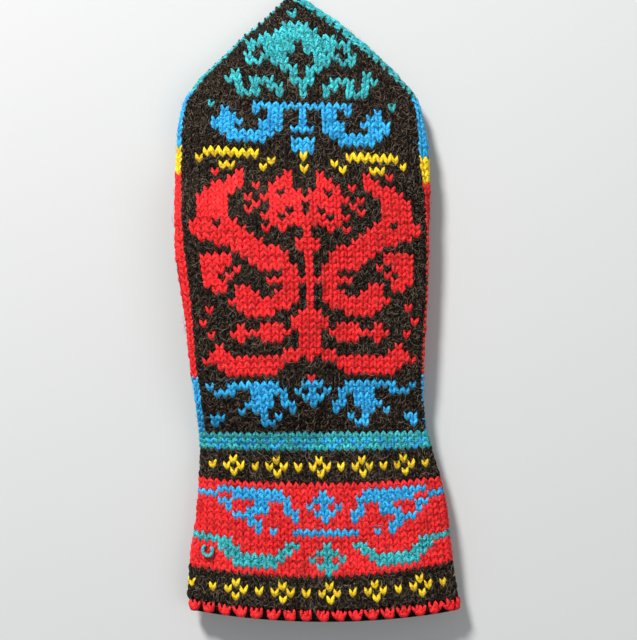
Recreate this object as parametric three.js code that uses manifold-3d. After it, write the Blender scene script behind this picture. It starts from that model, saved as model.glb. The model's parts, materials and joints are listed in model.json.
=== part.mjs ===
import * as THREE from 'three';
import { mergeVertices } from 'three/addons/utils/BufferGeometryUtils.js';
import Module from 'manifold-3d';

// A hand-knitted mitten lying palm down, fingertips towards +Y, with its thumb folded flat under the palm.
// Lengths are in millimetres. A height "up" is measured along +Y from the hem.

// Driving dimensions
const wall = 2.6;
const clearance = 0.3;
const hemDatum = -127.87;
const middleDatum = -0.71;
const backColumns = 31;
const bandColumns = 2;
const roundColumns = 2 * (backColumns + bandColumns);
const picotCount = roundColumns / 2;
const picotLow = 2.9;
const picotDepth = 1.9;
const picotTop = 4.6;
const scallopPower = 0.7;
const cuffTop = 71.6;
const braidTop = 78.8;
const tipTop = 256.4;
const decreaseStart = 213;
const tipColumns = 1;

// Outline seen from above: the left and right edges at each height
const silhouette = [
  { up: -3, left: -53.8, right: 59.8 },
  { up: 7, left: -53.2, right: 58.8 },
  { up: 25, left: -52.0, right: 56.0 },
  { up: 46, left: -49.4, right: 53.6 },
  { up: 60, left: -48.2, right: 50.8 },
  { up: 76, left: -48.0, right: 46.0 },
  { up: 91, left: -49.0, right: 43.7 },
  { up: 104, left: -51.0, right: 44.1 },
  { up: 132, left: -54.4, right: 45.3 },
  { up: 150, left: -56.9, right: 46.0 },
  { up: 175, left: -57.7, right: 46.5 },
  { up: 192, left: -57.4, right: 45.9 },
  { up: 206, left: -56.3, right: 43.6 },
  { up: 215, left: -53.7, right: 41.1 },
  { up: 224, left: -47.0, right: 33.8 },
  { up: 232.5, left: -38.2, right: 25.4 },
  { up: 240, left: -30.8, right: 17.3 },
  { up: 247, left: -22.4, right: 8.8 },
  { up: 252.5, left: -16.8, right: 0.8 },
  { up: 256, left: -13.4, right: -4.2 },
  { up: 258, left: -12.2, right: -6.2 },
];

// Outer thickness through the middle of the mitten at each height
const thickness = [
  { up: -3, thick: 15.4 },
  { up: 25, thick: 15 },
  { up: 60, thick: 14.2 },
  { up: 80, thick: 14.2 },
  { up: 110, thick: 16.6 },
  { up: 150, thick: 17.6 },
  { up: 195, thick: 16.6 },
  { up: 215, thick: 14 },
  { up: 232, thick: 11 },
  { up: 246, thick: 8.4 },
  { up: 258, thick: 5.6 },
];

// How a knitted row runs: its ends ride up by bow, it climbs by slope towards the left edge,
// its palm side hangs lower by drop, the fabric is turned round the hand by roll, in stitches,
// and the stitches left and right of the middle of the back stand at these shares of an even spacing
const rowRun = [
  { up: -3, bow: 5.0, slope: 0.4, drop: 2.2, roll: 1.01, crowdLeft: 0.936, crowdRight: 0.92 },
  { up: 20, bow: 6.2, slope: -0.8, drop: 1.4, roll: 0.9, crowdLeft: 0.927, crowdRight: 0.893 },
  { up: 40, bow: 5.05, slope: 0.38, drop: 0.6, roll: 0.52, crowdLeft: 0.94, crowdRight: 0.917 },
  { up: 60, bow: 2.05, slope: -0.2, drop: 0, roll: 0.27, crowdLeft: 0.951, crowdRight: 0.932 },
  { up: 76, bow: 0.2, slope: -0.2, drop: 0, roll: 0.48, crowdLeft: 0.987, crowdRight: 0.961 },
  { up: 90, bow: -0.95, slope: -0.6, drop: 0, roll: 0.52, crowdLeft: 1.003, crowdRight: 1.0 },
  { up: 110, bow: -1.5, slope: -0.2, drop: 0, roll: 0.41, crowdLeft: 0.99, crowdRight: 0.977 },
  { up: 145, bow: -2.05, slope: -0.7, drop: 0, roll: 0.73, crowdLeft: 0.993, crowdRight: 0.972 },
  { up: 175, bow: -0.3, slope: 1.75, drop: 0, roll: 0.33, crowdLeft: 0.994, crowdRight: 0.961 },
  { up: 192, bow: 0.45, slope: 2.35, drop: 0, roll: 0.09, crowdLeft: 1.001, crowdRight: 0.944 },
  { up: 213, bow: 1.2, slope: 1.2, drop: 0, roll: 0.11, crowdLeft: 1.02, crowdRight: 0.991 },
  { up: 232, bow: 0.9, slope: 0.85, drop: 0, roll: -0.32, crowdLeft: 1.002, crowdRight: 0.988 },
  { up: 243, bow: 0.4, slope: 0.5, drop: 0, roll: -0.68, crowdLeft: 0.994, crowdRight: 0.983 },
  { up: 258, bow: 0, slope: -0.1, drop: 0, roll: -0.88, crowdLeft: 0.986, crowdRight: 0.978 },
];

// Section shape: an oval with full sides, flat underneath where it lies
const sideFullness = 3;
const crownPower = 1.9;
const flatReach = 1.2;
const leastHollow = 0.15;
const leastHalfWidth = 0.5;

// Thumb, folded flat under the left half of the palm
const thumb = { x: -28, lean: 0.05, thick: 10, wall: 2.4, base: 93, root: 107, tip: 162 };
const thumbOutline = [
  { up: 93, half: 4 },
  { up: 95.5, half: 11.5 },
  { up: 100, half: 16 },
  { up: 107, half: 17.6 },
  { up: 125, half: 17.2 },
  { up: 142, half: 16 },
  { up: 152, half: 13.2 },
  { up: 158, half: 9.4 },
  { up: 162, half: 3.6 },
];
const thumbRoot = { halfWidth: 14.6, halfLength: 10.4, low: 5, high: 19, sides: 28 };
const lift = { height: thumb.thick + 0.5, topShare: 0.64, right: -9, fade: 26, start: 92, rampUp: 22 };
lift.end = 163;
lift.rampDown = 24;

// Soft dents in the back of the hand and the cuff
const dents = [
  { x: 24, up: 146, depth: 1.5, long: 26, wide: 7, turn: -0.25 },
  { x: -30, up: 88, depth: 1.1, long: 18, wide: 8, turn: 0.2 },
  { x: 30, up: 90, depth: 1.2, long: 16, wide: 8, turn: -0.3 },
  { x: -2, up: 196, depth: 0.9, long: 22, wide: 10, turn: 0.1 },
  { x: 6, up: 30, depth: 1.0, long: 24, wide: 9, turn: 0 },
];

// Mesh density
const handRows = 34;
const backSteps = 12;
const bandSteps = 2;
const cuffRows = 9;
const ringSteps = 32;
const picotSteps = 4;
const thumbRing = 20;
const thumbRowsPerStation = 2;
const sectionSamples = 288;
const tipCrowding = 1.35;
const weldDistance = 1e-4;

// Smooth interpolation down one column of a table
function tableValue(table, column, at, key = 'up') {
  const last = table.length - 1;
  let i = 0;
  while (i < last - 1 && at > table[i + 1][key]) i += 1;
  const tangent = (k) => {
    const before = table[Math.max(k - 1, 0)];
    const after = table[Math.min(k + 1, last)];
    return (after[column] - before[column]) / (after[key] - before[key]);
  };
  const span = table[i + 1][key] - table[i][key];
  const t = THREE.MathUtils.clamp((at - table[i][key]) / span, 0, 1);
  const t2 = t * t;
  const t3 = t2 * t;
  return (2 * t3 - 3 * t2 + 1) * table[i][column]
    + (t3 - 2 * t2 + t) * span * tangent(i)
    + (3 * t2 - 2 * t3) * table[i + 1][column]
    + (t3 - t2) * span * tangent(i + 1);
}

// Height of the oval section above its edges, as a share, where the angle's cosine is the place across
function ovalHeight(angle) {
  const rest = Math.max(1 - Math.abs(Math.cos(angle)) ** sideFullness, 0);
  return Math.sign(Math.sin(angle)) * rest ** (1 / crownPower);
}

// Height gained where the palm lies over the folded thumb
function thumbLift(x, up) {
  const across = 1 - THREE.MathUtils.smoothstep(x, lift.right, lift.right + lift.fade);
  const rise = THREE.MathUtils.smoothstep(up, lift.start - lift.rampUp, lift.start);
  const fall = 1 - THREE.MathUtils.smoothstep(up, lift.end, lift.end + lift.rampDown);
  return lift.height * across * rise * fall;
}

function dentDepth(x, up) {
  return dents.reduce((sum, dent) => {
    const dx = x - dent.x;
    const dy = up - dent.up;
    const along = dx * Math.cos(dent.turn) + dy * Math.sin(dent.turn);
    const across = dy * Math.cos(dent.turn) - dx * Math.sin(dent.turn);
    return sum + dent.depth * Math.exp(-((along / dent.long) ** 2) - (across / dent.wide) ** 2);
  }, 0);
}

// The knitted row at one height: its edges, thickness and shape of section
function rowAt(up) {
  const bow = tableValue(rowRun, 'bow', up);
  const slope = tableValue(rowRun, 'slope', up);
  const left = tableValue(silhouette, 'left', up + bow + slope);
  const right = tableValue(silhouette, 'right', up + bow - slope);
  const row = { up, bow, slope };
  row.drop = tableValue(rowRun, 'drop', up);
  row.roll = tableValue(rowRun, 'roll', up);
  row.crowdLeft = tableValue(rowRun, 'crowdLeft', up);
  row.crowdRight = tableValue(rowRun, 'crowdRight', up);
  row.middle = middleDatum + (left + right) / 2;
  row.half = (right - left) / 2;
  row.thick = tableValue(thickness, 'thick', up);
  return row;
}

// Section point at an angle: 0 is the right edge, a quarter turn the middle of the back
function sectionPoint(row, angle, inset) {
  const across = Math.cos(angle);
  const height = ovalHeight(angle);
  const edge = row.thick / 2;
  const half = Math.max(row.half - inset, leastHalfWidth);
  const rise = Math.max(edge - inset, leastHollow);
  const z = edge + rise * (height > 0 ? height : -Math.min(1, -height * flatReach));
  return new THREE.Vector3(row.middle + half * across, across, z);
}

// The section in its place on the mitten, lifted by the thumb and dented on top
function placedPoint(row, angle, inset) {
  const point = sectionPoint(row, angle, inset);
  const across = point.y;
  const share = THREE.MathUtils.clamp(point.z / row.thick, 0, 1);
  const up = row.up + row.bow * across * across - row.slope * across - row.drop * (1 - share);
  const raised = thumbLift(point.x, up) * THREE.MathUtils.lerp(1, lift.topShare, share);
  const pressed = dentDepth(point.x, up) * THREE.MathUtils.smoothstep(share, 0.5, 1);
  return new THREE.Vector3(point.x, hemDatum + up, point.z + raised - pressed);
}

// Angles at even steps of length round a row, so that a column of stitches can be found
function arcTable(row) {
  const angles = [];
  const lengths = [0];
  for (let i = 0; i <= sectionSamples; i += 1) {
    angles.push(Math.PI / 2 - (i / sectionSamples) * 2 * Math.PI);
    if (i > 0) {
      const a = sectionPoint(row, angles[i - 1], 0).setY(0);
      const b = sectionPoint(row, angles[i], 0).setY(0);
      lengths.push(lengths[i - 1] + a.distanceTo(b));
    }
  }
  return { angles, lengths, total: lengths[sectionSamples] };
}

function angleAtLength(arc, length) {
  const wrapped = THREE.MathUtils.euclideanModulo(length, arc.total);
  const turns = (length - wrapped) / arc.total;
  let i = 1;
  while (i < sectionSamples && arc.lengths[i] < wrapped) i += 1;
  const t = (wrapped - arc.lengths[i - 1]) / (arc.lengths[i] - arc.lengths[i - 1]);
  return THREE.MathUtils.lerp(arc.angles[i - 1], arc.angles[i], t) - turns * 2 * Math.PI;
}

// Stitches across the back at a height: the full count, then fewer up to the point
function columnsAt(up) {
  const t = THREE.MathUtils.clamp((up - decreaseStart) / (tipTop - decreaseStart), 0, 1);
  return THREE.MathUtils.lerp(backColumns, tipColumns, t);
}

// Place of a column round the row, in even spacings: crowded on the back, stretched on the palm
function placeOfColumn(column, columns, row) {
  const edge = columns / 2 + bandColumns;
  const lap = 2 * (columns + bandColumns);
  const start = column > lap - edge ? lap : 0;
  const place = column - start;
  if (place < 0) return start + place * row.crowdLeft;
  if (place <= edge) return place * row.crowdRight;
  return THREE.MathUtils.mapLinear(place, edge, lap - edge, edge * row.crowdRight, lap - edge * row.crowdLeft);
}

// A point on the fabric at a column counted from the middle of the back, trimmed back by some length
function fabricPoint(up, column, trim, inset) {
  const row = rowAt(up);
  const arc = arcTable(row);
  const columns = columnsAt(up);
  const pitch = arc.total / (2 * (columns + bandColumns));
  const length = (placeOfColumn(column(columns), columns, row) + row.roll) * pitch + trim;
  return placedPoint(row, angleAtLength(arc, length), inset);
}

// A wall of fabric between an outer and an inner grid of points, closed along its edges
function wallGeometry(rows, steps, closedRing, pointAt) {
  const across = closedRing ? steps : steps + 1;
  const vertices = [];
  const indices = [];
  for (const inset of [0, 1]) {
    for (let i = 0; i <= rows; i += 1) {
      for (let j = 0; j < across; j += 1) vertices.push(...pointAt(i / rows, j / steps, inset).toArray());
    }
  }
  const inner = (rows + 1) * across;
  const at = (i, j, side) => side * inner + i * across + (j % across);
  const quad = (a, b, c, d) => indices.push(a, b, c, a, c, d);
  for (let i = 0; i < rows; i += 1) {
    for (let j = 0; j < steps; j += 1) {
      quad(at(i, j, 0), at(i, j + 1, 0), at(i + 1, j + 1, 0), at(i + 1, j, 0));
      quad(at(i, j, 1), at(i + 1, j, 1), at(i + 1, j + 1, 1), at(i, j + 1, 1));
    }
  }
  for (let j = 0; j < steps; j += 1) {
    quad(at(0, j, 0), at(0, j, 1), at(0, j + 1, 1), at(0, j + 1, 0));
    quad(at(rows, j, 0), at(rows, j + 1, 0), at(rows, j + 1, 1), at(rows, j, 1));
  }
  for (let i = 0; i < rows && !closedRing; i += 1) {
    quad(at(i, 0, 0), at(i + 1, 0, 0), at(i + 1, 0, 1), at(i, 0, 1));
    quad(at(i, steps, 0), at(i, steps, 1), at(i + 1, steps, 1), at(i + 1, steps, 0));
  }
  const geometry = new THREE.BufferGeometry();
  geometry.setAttribute('position', new THREE.Float32BufferAttribute(vertices, 3));
  geometry.setIndex(indices);
  return geometry;
}

// A closed solid lofted through rings of points, from the lowest ring to the highest
function loftGeometry(rings) {
  const sides = rings[0].length;
  const vertices = rings.flat().flatMap((point) => point.toArray());
  const indices = [];
  for (let i = 0; i + 1 < rings.length; i += 1) {
    for (let j = 0; j < sides; j += 1) {
      const next = (j + 1) % sides;
      const low = i * sides;
      const high = low + sides;
      indices.push(low + j, low + next, high + next, low + j, high + next, high + j);
    }
  }
  for (const [ring, flip] of [[0, true], [rings.length - 1, false]]) {
    const centre = vertices.length / 3;
    const middle = rings[ring].reduce((sum, p) => sum.add(p), new THREE.Vector3()).divideScalar(sides);
    vertices.push(...middle.toArray());
    for (let j = 0; j < sides; j += 1) {
      const a = ring * sides + j;
      const b = ring * sides + ((j + 1) % sides);
      indices.push(...(flip ? [centre, b, a] : [centre, a, b]));
    }
  }
  const geometry = new THREE.BufferGeometry();
  geometry.setAttribute('position', new THREE.Float32BufferAttribute(vertices, 3));
  geometry.setIndex(indices);
  return geometry;
}

const wasm = await Module();
wasm.setup();

function toSolid(geometry) {
  const merged = mergeVertices(geometry.clone().deleteAttribute('normal').deleteAttribute('uv'), weldDistance);
  return new wasm.Manifold(new wasm.Mesh({
    numProp: 3,
    vertProperties: new Float32Array(merged.attributes.position.array),
    triVerts: new Uint32Array(merged.index.array),
  }));
}

function toGeometry(solid) {
  const mesh = solid.getMesh();
  const geometry = new THREE.BufferGeometry();
  geometry.setAttribute('position', new THREE.Float32BufferAttribute(mesh.vertProperties, 3));
  geometry.setIndex(Array.from(mesh.triVerts));
  return geometry;
}

// Rows of the hand stand closer together towards the point
function handUp(t) {
  const low = braidTop + clearance / 2;
  return low + (tipTop - low) * (1 - (1 - t) ** tipCrowding);
}

// Columns stand closer together near the edges, where the fabric turns
function easedStep(t) {
  return Math.sin((t - 0.5) * Math.PI) / 2;
}

function backWall() {
  return wallGeometry(handRows, backSteps, false, (i, j, side) => {
    const trim = clearance * -easedStep(j);
    return fabricPoint(handUp(i), (n) => n * easedStep(j), trim, side * wall);
  });
}

function palmWall() {
  return wallGeometry(handRows, backSteps, false, (i, j, side) => {
    const trim = clearance * -easedStep(j);
    return fabricPoint(handUp(i), (n) => n + bandColumns + n * easedStep(j), trim, side * wall);
  });
}

function bandWall(direction) {
  return wallGeometry(handRows, bandSteps, false, (i, j, side) => {
    const trim = clearance * (0.5 - j);
    const column = (n) => direction * (n + bandColumns) / 2 + bandColumns * (j - 0.5);
    return fabricPoint(handUp(i), column, trim, side * wall);
  });
}

// A whole ring of fabric between two heights
function ringWall(low, high, rows, steps) {
  return wallGeometry(rows, steps, true, (i, j, side) => {
    const up = THREE.MathUtils.lerp(low, high, i);
    const row = rowAt(up);
    return placedPoint(row, Math.PI / 2 - j * 2 * Math.PI, side * wall);
  });
}

// The picots are counted along the hem, so this ring is stepped by length and not by angle
function picotWall() {
  const steps = picotCount * picotSteps;
  return wallGeometry(1, steps, true, (i, j, side) => {
    const scallop = picotDepth * Math.abs(Math.sin(j * picotCount * Math.PI)) ** scallopPower;
    const up = THREE.MathUtils.lerp(picotLow - scallop, picotTop - clearance, i);
    return fabricPoint(up, () => j * roundColumns, 0, side * wall);
  });
}

// The flat thumb: rings of a flattened oval that lies on the same surface as the palm
function thumbSolid(inset) {
  const stations = [];
  const low = thumb.base + inset;
  const high = thumb.tip - inset;
  const count = (thumbOutline.length - 1) * thumbRowsPerStation;
  for (let i = 0; i <= count; i += 1) stations.push(THREE.MathUtils.lerp(low, high, i / count));
  const rings = stations.map((up) => {
    const half = Math.max(tableValue(thumbOutline, 'half', up) - inset, 1);
    const ease = Math.min(1, Math.sqrt(half / (thumb.thick - inset)));
    const rise = (thumb.thick / 2 - inset) * ease;
    const x = thumb.x + (up - thumb.root) * thumb.lean;
    const ring = [];
    for (let j = 0; j < thumbRing; j += 1) {
      const angle = -(j / thumbRing) * 2 * Math.PI;
      const z = thumb.thick / 2 + rise * THREE.MathUtils.clamp(ovalHeight(angle) * flatReach, -1, 1);
      ring.push(new THREE.Vector3(x + half * Math.cos(angle), hemDatum + up, z));
    }
    return ring;
  });
  return toSolid(loftGeometry(rings));
}

// The short oval neck by which the thumb grows out of the palm
function rootSolid(inset) {
  const rings = [thumbRoot.low, thumbRoot.high].map((z) => {
    const ring = [];
    for (let j = 0; j < thumbRoot.sides; j += 1) {
      const angle = (j / thumbRoot.sides) * 2 * Math.PI;
      ring.push(new THREE.Vector3(
        thumb.x + (thumbRoot.halfWidth - inset) * Math.cos(angle),
        hemDatum + thumb.root + (thumbRoot.halfLength - inset) * Math.sin(angle),
        z,
      ));
    }
    return ring;
  });
  return toSolid(loftGeometry(rings));
}

// The hollow of the hand as a solid, to trim the thumb's neck flush with the palm's inner face
function handHollow() {
  const rings = [];
  for (let i = 0; i < handRows; i += 1) {
    const row = rowAt(handUp(i / handRows));
    const ring = [];
    for (let j = 0; j < ringSteps; j += 1) {
      ring.push(placedPoint(row, -(Math.PI / 2) - (j / ringSteps) * 2 * Math.PI, wall));
    }
    rings.push(ring);
  }
  return toSolid(loftGeometry(rings));
}

function thumbGeometry() {
  const outer = thumbSolid(0).add(rootSolid(0));
  const inner = thumbSolid(thumb.wall).add(rootSolid(thumb.wall));
  return toGeometry(outer.subtract(inner).subtract(handHollow()));
}

function palmGeometry() {
  return toGeometry(toSolid(palmWall()).subtract(rootSolid(-clearance)));
}

// Yarn colours
const yarn = {
  charcoal: '#3a312a',
  red: '#d8343a',
  blue: '#2f86cf',
  teal: '#2f8f96',
};

function knitted(colour) {
  return new THREE.MeshStandardMaterial({ color: colour, roughness: 0.95, metalness: 0 });
}

const halfGap = clearance / 2;
const pieces = [
  ['picot_edge', picotWall(), yarn.red],
  ['cuff', ringWall(picotTop, cuffTop - halfGap, cuffRows, ringSteps), yarn.red],
  ['wrist_braid', ringWall(cuffTop + halfGap, braidTop - halfGap, 1, ringSteps), yarn.teal],
  ['back_of_hand', backWall(), yarn.charcoal],
  ['palm', palmGeometry(), yarn.charcoal],
  ['side_band_left', bandWall(-1), yarn.blue],
  ['side_band_right', bandWall(1), yarn.blue],
  ['thumb', thumbGeometry(), yarn.charcoal],
];

const mitten = new THREE.Group();
for (const [name, geometry, colour] of pieces) {
  geometry.computeVertexNormals();
  const mesh = new THREE.Mesh(geometry, knitted(colour));
  mesh.name = name;
  mitten.add(mesh);
}

export default mitten;
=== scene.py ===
import json
import math

import bmesh
import bpy
import numpy as np
from mathutils import Matrix, Vector

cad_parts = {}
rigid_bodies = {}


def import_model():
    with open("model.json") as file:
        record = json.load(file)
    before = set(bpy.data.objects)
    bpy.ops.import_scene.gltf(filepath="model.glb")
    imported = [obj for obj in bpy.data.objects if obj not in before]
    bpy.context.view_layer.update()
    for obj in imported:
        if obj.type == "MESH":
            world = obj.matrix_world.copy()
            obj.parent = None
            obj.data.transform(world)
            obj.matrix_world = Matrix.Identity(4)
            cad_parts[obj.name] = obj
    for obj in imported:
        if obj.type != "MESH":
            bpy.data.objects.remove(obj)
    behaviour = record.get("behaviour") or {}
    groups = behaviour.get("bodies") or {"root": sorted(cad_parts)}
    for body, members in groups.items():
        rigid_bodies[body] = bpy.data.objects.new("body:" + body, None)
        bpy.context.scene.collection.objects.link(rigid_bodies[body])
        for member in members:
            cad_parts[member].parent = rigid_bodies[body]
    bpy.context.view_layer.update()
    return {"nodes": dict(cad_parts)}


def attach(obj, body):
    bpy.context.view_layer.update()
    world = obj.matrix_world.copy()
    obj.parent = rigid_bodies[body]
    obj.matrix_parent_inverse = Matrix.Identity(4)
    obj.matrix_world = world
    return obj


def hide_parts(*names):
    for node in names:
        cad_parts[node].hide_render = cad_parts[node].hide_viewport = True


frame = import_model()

scene = bpy.context.scene
mm = 0.001
print("frame loaded")


def addObject(name, data):
    obj = bpy.data.objects.new(name, data)
    scene.collection.objects.link(obj)
    return obj


# Camera straight above the mitten
cameraSizes = {"place": (0.0001, -0.0041, 0.608), "lens": 82.3}
cameraData = bpy.data.cameras.new("camera")
cameraData.lens = cameraSizes["lens"]
scene.camera = addObject("camera", cameraData)
scene.camera.location = cameraSizes["place"]

# Outline and thickness of the hand, in millimetres up from the hem
outline = {
    "up": (-3, 7, 25, 46, 60, 76, 91, 104, 132, 150, 175, 192, 206, 215, 224, 232.5, 240, 247, 252.5, 256,
           258),
    "left": (-53.8, -53.2, -52.0, -49.4, -48.2, -48.0, -49.0, -51.0, -54.4, -56.9, -57.7, -57.4, -56.3, -53.7,
             -47.0, -38.2, -30.8, -22.4, -16.8, -13.4, -12.2),
    "right": (59.8, 58.8, 56.0, 53.6, 50.8, 46.0, 43.7, 44.1, 45.3, 46.0, 46.5, 45.9, 43.6, 41.1,
              33.8, 25.4, 17.3, 8.8, 0.8, -4.2, -6.2),
}
thickness = {
    "up": (-3, 25, 60, 80, 110, 150, 195, 215, 232, 246, 258),
    "thick": (15.4, 15, 14.2, 14.2, 16.6, 17.6, 16.6, 14, 11, 8.4, 5.6),
}
# How its rows run: bow lifts a row's ends, slope tilts it, drop lowers its palm side and roll turns it round.
# Crowd presses the columns of one side together, and rim rolls the last ones further round the edge.
rowRun = {
    "up": (-3, 20, 40, 60, 76, 90, 110, 145, 175, 192, 213, 232, 243, 258),
    "bow": (4.4, 5.2, 4.4, 2.0, 0.2, -0.95, -1.5, -2.05, -0.3, 0.45, 1.2, 0.9, 0.4, 0),
    "slope": (0.4, -0.8, 0.38, -0.2, -0.2, -0.6, -0.2, -0.7, 1.75, 2.35, 1.2, 0.85, 0.5, -0.1),
    "drop": (2.2, 1.4, 0.6, 0, 0, 0, 0, 0, 0, 0, 0, 0, 0, 0),
    "roll": (1.01, 0.9, 0.52, 0.27, 0.48, 0.52, 0.41, 0.73, 0.33, 0.09, 0.11, -0.32, -0.68, -0.88),
    "crowdLeft": (0.936, 0.927, 0.94, 0.951, 0.987, 1.003, 0.99, 0.993, 0.994, 1.001, 1.02, 1.002, 0.994,
                  0.986),
    "crowdRight": (0.92, 0.893, 0.917, 0.932, 0.961, 1.0, 0.977, 0.972, 0.961, 0.944, 0.991, 0.988, 0.983,
                   0.978),
    "rimLeft": (0, 0, 0, 0.2, 0.5, 0.45, 0.2, 0, 0, 0, 0, 0, 0, 0),
    "rimRight": (0, 0, 0, 0.2, 0.8, 0.9, 0.9, 0.9, 0.35, 0, 0, 0, 0, 0),
}
# Height of counted rows of stitches
rowHeights = {
    "row": (-1, 0, 1, 6, 21, 26, 29, 38, 45, 55, 66, 72, 74, 81, 94, 98, 99),
    "up": (-1.4, 1.2, 3.9, 17.2, 57.6, 71.1, 78.4, 102.1, 120.5, 146.8, 174.4, 189.3, 195.4, 212.1, 246.3,
           255.9, 258),
}
# Soft dents in the back, and its lift over the folded thumb
dents = (
    {"x": 24, "up": 146, "depth": 1.5, "long": 26, "wide": 7, "turn": -0.25},
    {"x": -30, "up": 88, "depth": 1.1, "long": 18, "wide": 8, "turn": 0.2},
    {"x": 30, "up": 90, "depth": 1.2, "long": 16, "wide": 8, "turn": -0.3},
    {"x": -2, "up": 196, "depth": 0.9, "long": 22, "wide": 10, "turn": 0.1},
    {"x": 6, "up": 30, "depth": 1.0, "long": 24, "wide": 9, "turn": 0},
)
lift = {"height": 10.5, "topShare": 0.64, "right": -9, "fade": 26, "start": 92, "rampUp": 22, "end": 163,
        "rampDown": 24}
hand = {"hemDatum": -127.87, "middleDatum": -0.71, "backColumns": 31, "bandColumns": 2, "rimColumns": 3.5,
        "tipTop": 256.4, "decreaseStart": 213, "tipColumns": 1, "fullness": 3, "crown": 1.9, "flatReach": 1.2,
        "wall": 2.6, "leastHalf": 0.5, "leastHollow": 0.15, "dentsAbove": 0.5, "samples": 288}


def tableValue(table, column, at):
    xs, ys = table["up"], table[column]
    last = len(xs) - 1
    i = 0
    while i < last - 1 and at > xs[i + 1]:
        i += 1

    def tangent(k):
        before, after = max(k - 1, 0), min(k + 1, last)
        return (ys[after] - ys[before]) / (xs[after] - xs[before])

    span = xs[i + 1] - xs[i]
    t = min(max((at - xs[i]) / span, 0), 1)
    t2, t3 = t * t, t * t * t
    return ((2 * t3 - 3 * t2 + 1) * ys[i] + (t3 - 2 * t2 + t) * span * tangent(i)
            + (3 * t2 - 2 * t3) * ys[i + 1] + (t3 - t2) * span * tangent(i + 1))


def easeBetween(value, low, high):
    t = np.clip((value - low) / (high - low), 0, 1)
    return t * t * (3 - 2 * t)


def thumbLift(x, up):
    across = 1 - easeBetween(x, lift["right"], lift["right"] + lift["fade"])
    rise = easeBetween(up, lift["start"] - lift["rampUp"], lift["start"])
    fall = 1 - easeBetween(up, lift["end"], lift["end"] + lift["rampDown"])
    return lift["height"] * across * rise * fall


def dentDepth(x, up):
    total = 0
    for dent in dents:
        dx, dy = x - dent["x"], up - dent["up"]
        along = dx * math.cos(dent["turn"]) + dy * math.sin(dent["turn"])
        across = dy * math.cos(dent["turn"]) - dx * math.sin(dent["turn"])
        total = total + dent["depth"] * np.exp(-(along / dent["long"]) ** 2 - (across / dent["wide"]) ** 2)
    return total


# Height of a rounded section at an angle, from -1 to 1
def sectionHeight(angle):
    bulge = np.maximum(1 - np.abs(np.cos(angle)) ** hand["fullness"], 0) ** (1 / hand["crown"])
    return np.sign(np.sin(angle)) * bulge


def sectionPoint(row, angle, inset):
    across, height = np.cos(angle), sectionHeight(angle)
    edge = row["thick"] / 2
    half = max(row["half"] - inset, hand["leastHalf"])
    rise = max(edge - inset, hand["leastHollow"])
    z = edge + rise * np.where(height > 0, height, np.maximum(height * hand["flatReach"], -1))
    return row["middle"] + half * across, across, z


def unit(vectors):
    return vectors / np.linalg.norm(vectors, axis=-1, keepdims=True)


def lengthsAlong(points):
    return np.concatenate([[0], np.cumsum(np.linalg.norm(np.diff(points, axis=0), axis=1))])


# Angles round a section, from its upper middle and back to it
def ringAngles(count):
    return np.pi / 2 - np.arange(count + 1) / count * 2 * np.pi


rowCache = {}


def rowAt(up):
    key = round(float(up), 4)
    if key in rowCache:
        return rowCache[key]
    row = {name: tableValue(rowRun, name, up) for name in rowRun if name != "up"}
    left = tableValue(outline, "left", up + row["bow"] + row["slope"])
    right = tableValue(outline, "right", up + row["bow"] - row["slope"])
    share = min(max((up - hand["decreaseStart"]) / (hand["tipTop"] - hand["decreaseStart"]), 0), 1)
    columns = hand["backColumns"] + (hand["tipColumns"] - hand["backColumns"]) * share
    row.update(middle=hand["middleDatum"] + (left + right) / 2, half=(right - left) / 2,
               thick=tableValue(thickness, "thick", up), angles=ringAngles(hand["samples"]), columns=columns,
               edge=columns / 2 + hand["bandColumns"], lap=2 * (columns + hand["bandColumns"]))
    x, _, z = sectionPoint(row, row["angles"], 0)
    row["lengths"] = lengthsAlong(np.stack([x, z], -1))
    row["pitch"] = row["lengths"][-1] / row["lap"]
    rowCache[key] = row
    return row


def angleOfColumn(row, column):
    edge, lap, total = row["edge"], row["lap"], row["lengths"][-1]
    rim = max(edge - hand["rimColumns"], edge / 2)
    left, right = row["crowdLeft"], row["crowdRight"]
    leftEnd, rightEnd = left * edge + row["rimLeft"], right * edge + row["rimRight"]
    counted = np.array((-edge, -rim, 0, rim, edge))
    spots = np.array((-leftEnd, -left * rim, 0, right * rim, rightEnd))
    place = np.interp(column, np.concatenate([counted, counted + lap]), np.concatenate([spots, spots + lap]))
    length = (place + row["roll"]) * row["pitch"]
    wrapped = np.mod(length, total)
    return np.interp(wrapped, row["lengths"], row["angles"]) - (length - wrapped) / total * 2 * np.pi


# Points of the fabric at one height, for columns counted from the middle of the back
def fabricRow(up, columns, inset=0.0):
    row = rowAt(up)
    x, across, z = sectionPoint(row, angleOfColumn(row, np.asarray(columns, float)), inset)
    share = np.clip(z / row["thick"], 0, 1)
    atUp = up + row["bow"] * across ** 2 - row["slope"] * across - row["drop"] * (1 - share)
    raised = thumbLift(x, atUp) * (1 + (lift["topShare"] - 1) * share)
    pressed = dentDepth(x, atUp) * easeBetween(share, hand["dentsAbove"], 1)
    return np.stack([x, hand["hemDatum"] + atUp, z + raised - pressed], -1)


def upOfRow(row):
    return float(np.interp(row, rowHeights["row"], rowHeights["up"]))


# Stitches that the back holds in a counted row: an odd number that narrows to one at the tip
def stitchesInRow(row):
    half = int(rowAt(upOfRow(row + 0.5))["columns"] / 2)
    return 2 * half + 1


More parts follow.
